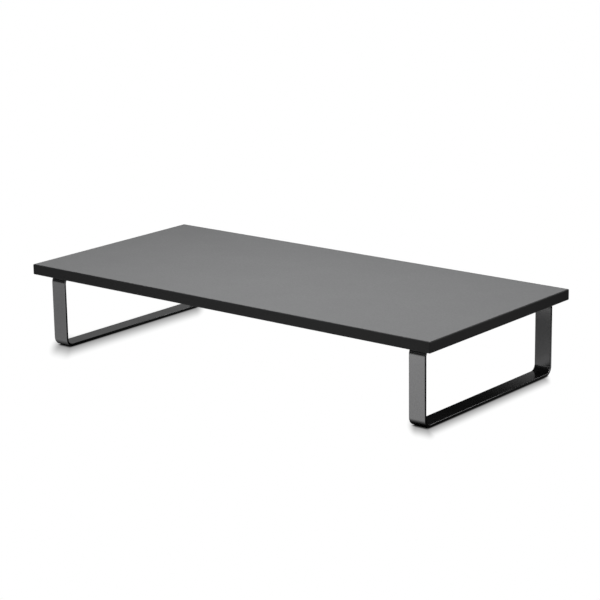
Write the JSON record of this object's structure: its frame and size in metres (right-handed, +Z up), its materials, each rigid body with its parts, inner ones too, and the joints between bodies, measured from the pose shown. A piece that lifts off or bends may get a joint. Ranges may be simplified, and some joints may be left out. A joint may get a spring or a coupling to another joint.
{
  "type": "monitor riser",
  "caption": "Low fixed desk riser: a thin dark grey laminated board with black edges on two closed rectangular loops of flat steel bar, for a monitor or laptop with a keyboard stored beneath.",
  "frame": {"origin": "middle of the footprint, on the surface that the foot pads stand on", "axes": "+X to the right along the board's long side, -Y towards the user, +Z up"},
  "size_m": [0.56, 0.26, 0.098],
  "materials": {
    "laminate": "satin graphite grey laminate with a fine grain",
    "backing": "matt black balancing sheet",
    "edge_band": "black satin edge banding",
    "core": "raw fibreboard",
    "bar": "satin gunmetal coat with a metallic sheen",
    "screw": "black oxide",
    "insert": "yellow zinc plate",
    "pad": "matt black"
  },
  "bodies": {
    "root": {"board_core": "core", "top_laminate": "laminate", "bottom_laminate": "backing", "front_edge_band": "edge_band", "rear_edge_band": "edge_band", "left_edge_band": "edge_band", "right_edge_band": "edge_band", "left_leg_frame": "bar", "right_leg_frame": "bar", "left_front_screw": "screw", "left_middle_screw": "screw", "left_rear_screw": "screw", "right_front_screw": "screw", "right_middle_screw": "screw", "right_rear_screw": "screw", "left_front_insert": "insert", "left_middle_insert": "insert", "left_rear_insert": "insert", "right_front_insert": "insert", "right_middle_insert": "insert", "right_rear_insert": "insert", "left_front_pad": "pad", "left_rear_pad": "pad", "right_front_pad": "pad", "right_rear_pad": "pad"}
  },
  "joints": []
}
